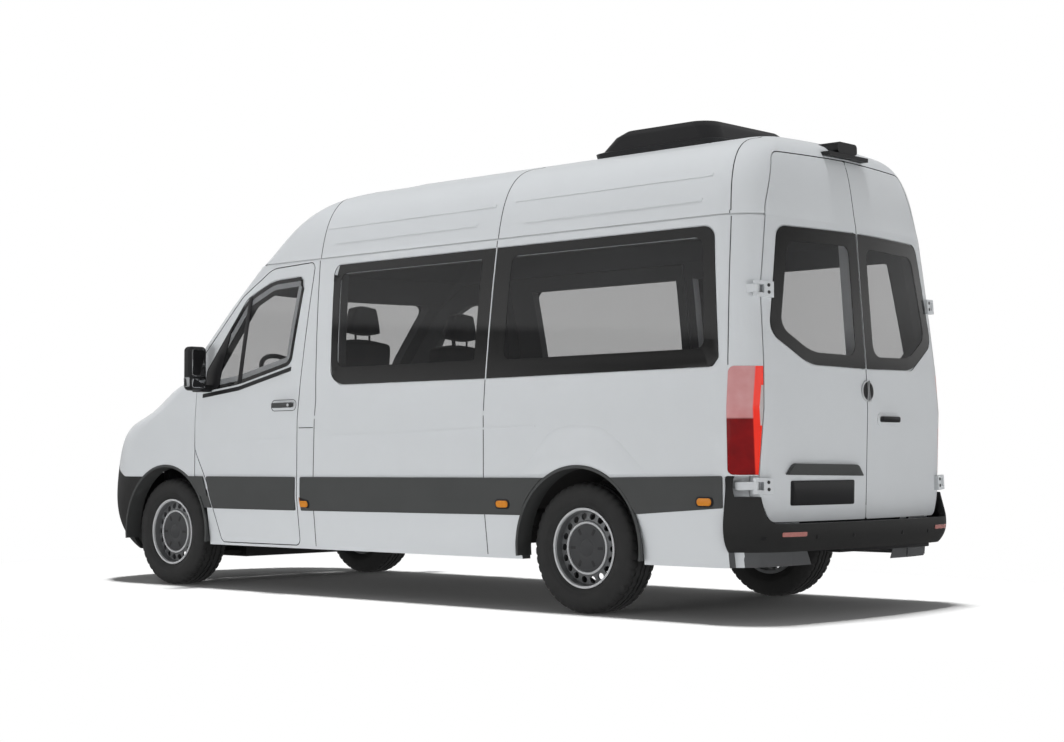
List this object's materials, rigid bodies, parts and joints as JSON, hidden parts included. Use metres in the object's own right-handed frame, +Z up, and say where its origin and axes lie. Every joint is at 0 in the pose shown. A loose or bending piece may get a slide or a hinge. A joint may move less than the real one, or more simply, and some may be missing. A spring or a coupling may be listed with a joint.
{
  "type": "windowed high-roof van",
  "caption": "Long high-roof passenger van with side panes, twin back doors, a sliding side door, hinged bonnet, steering and rolling wheels.",
  "frame": {"origin": "bottom centre of the van's overall box, on the ground", "axes": "+X forward, +Y to the van's left, +Z up"},
  "size_m": [5.9398, 2.344, 2.716],
  "materials": {
    "body_paint": "gloss light cool-white paint",
    "dark_glass": "dark tinted glass",
    "dark_plastic": "grained dark grey plastic",
    "black_plastic": "satin black plastic",
    "lamp_red": "clear red lens",
    "lamp_clear": "clear lens over bright reflector",
    "seat_cloth": "dark woven cloth",
    "wheel_steel": "silver painted steel",
    "tyre_rubber": "black rubber",
    "dark_metal": "black chassis coat",
    "bare_metal": "dull cast metal"
  },
  "bodies": {
    "hull": {"left_wall": "body_paint", "right_wall": "body_paint", "sliding_door": "body_paint", "roof": "body_paint", "cab_frame": "body_paint", "left_wing": "body_paint", "right_wing": "body_paint", "rear_hinge_lugs": "body_paint", "windscreen": "dark_glass", "left_panes": "dark_glass", "right_panes": "dark_glass", "rear_bumper": "dark_plastic", "front_bumper": "dark_plastic", "side_strips": "dark_plastic", "scuttle": "black_plastic", "grille": "black_plastic", "roof_unit": "black_plastic", "camera_pod": "black_plastic", "dashboard": "black_plastic", "tail_lamps": "lamp_red", "headlamps": "lamp_clear", "driver_seat": "seat_cloth", "passenger_seat": "seat_cloth", "floor": "dark_metal", "frame_rails": "dark_metal", "front_subframe": "dark_metal", "rear_axle": "dark_metal", "leaf_springs": "dark_metal", "fuel_tank": "dark_metal", "tow_socket": "dark_metal", "engine": "bare_metal", "exhaust": "bare_metal", "radiator": "bare_metal"},
    "left_steer": {"left_knuckle": "dark_metal"},
    "right_steer": {"right_knuckle": "dark_metal"},
    "front_left_wheel": {"front_left_rim": "wheel_steel", "front_left_tyre": "tyre_rubber"},
    "front_right_wheel": {"front_right_rim": "wheel_steel", "front_right_tyre": "tyre_rubber"},
    "rear_left_wheel": {"rear_left_rim": "wheel_steel", "rear_left_tyre": "tyre_rubber"},
    "rear_right_wheel": {"rear_right_rim": "wheel_steel", "rear_right_tyre": "tyre_rubber"},
    "helm": {"steering_wheel": "black_plastic"},
    "left_front_door": {"left_door": "body_paint", "left_door_pane": "dark_glass", "left_door_trim": "dark_plastic", "left_mirror": "black_plastic"},
    "right_front_door": {"right_door": "body_paint", "right_door_pane": "dark_glass", "right_door_trim": "dark_plastic", "right_mirror": "black_plastic"},
    "left_back_door": {"rear_left_door": "body_paint", "rear_left_pane": "dark_glass", "rear_left_straps": "body_paint"},
    "right_back_door": {"rear_right_door": "body_paint", "rear_right_pane": "dark_glass", "rear_right_straps": "body_paint"},
    "hood": {"bonnet": "body_paint"}
  },
  "joints": [
    {"name": "steer_left", "type": "hinge", "parent": "hull", "child": "left_steer", "pos_m": [1.962, 0.775, 0.354], "axis": [0, 0, 1], "range_deg": [-34, 34]},
    {"name": "steer_right", "type": "hinge", "parent": "hull", "child": "right_steer", "pos_m": [1.962, -0.775, 0.354], "axis": [0, 0, 1], "range_deg": [-34, 34]},
    {"name": "helm_turn", "type": "hinge", "parent": "hull", "child": "helm", "pos_m": [1.385, 0.45, 1.4], "axis": [-0.7431, 0, 0.6691], "range_deg": [-510, 510]},
    {"name": "front_left_spin", "type": "hinge", "parent": "left_steer", "child": "front_left_wheel", "pos_m": [1.962, 0.858, 0.354], "axis": [0, 1, 0], "continuous": true},
    {"name": "front_right_spin", "type": "hinge", "parent": "right_steer", "child": "front_right_wheel", "pos_m": [1.962, -0.858, 0.354], "axis": [0, 1, 0], "continuous": true},
    {"name": "rear_left_spin", "type": "hinge", "parent": "hull", "child": "rear_left_wheel", "pos_m": [-1.703, 0.858, 0.354], "axis": [0, 1, 0], "continuous": true},
    {"name": "rear_right_spin", "type": "hinge", "parent": "hull", "child": "rear_right_wheel", "pos_m": [-1.703, -0.858, 0.354], "axis": [0, 1, 0], "continuous": true},
    {"name": "left_front_door_open", "type": "hinge", "parent": "hull", "child": "left_front_door", "pos_m": [1.645, 1.012, 0.9], "axis": [0, 0, -1], "range_deg": [0, 70]},
    {"name": "right_front_door_open", "type": "hinge", "parent": "hull", "child": "right_front_door", "pos_m": [1.645, -1.012, 0.9], "axis": [0, 0, 1], "range_deg": [0, 70]},
    {"name": "left_back_door_open", "type": "hinge", "parent": "hull", "child": "left_back_door", "pos_m": [-2.812, 0.908, 0.698], "axis": [-0.0259, 0.0507, -0.9984], "range_deg": [0, 170]},
    {"name": "right_back_door_open", "type": "hinge", "parent": "hull", "child": "right_back_door", "pos_m": [-2.812, -0.908, 0.698], "axis": [0.0259, 0.0507, 0.9984], "range_deg": [0, 170]},
    {"name": "hood_open", "type": "hinge", "parent": "hull", "child": "hood", "pos_m": [2.077, 0, 1.317], "axis": [0, -1, 0], "range_deg": [0, 50]}
  ],
  "couplings": [
    {"joint": "steer_right", "follows": "steer_left", "ratio": 1},
    {"joint": "helm_turn", "follows": "steer_left", "ratio": 15}
  ]
}
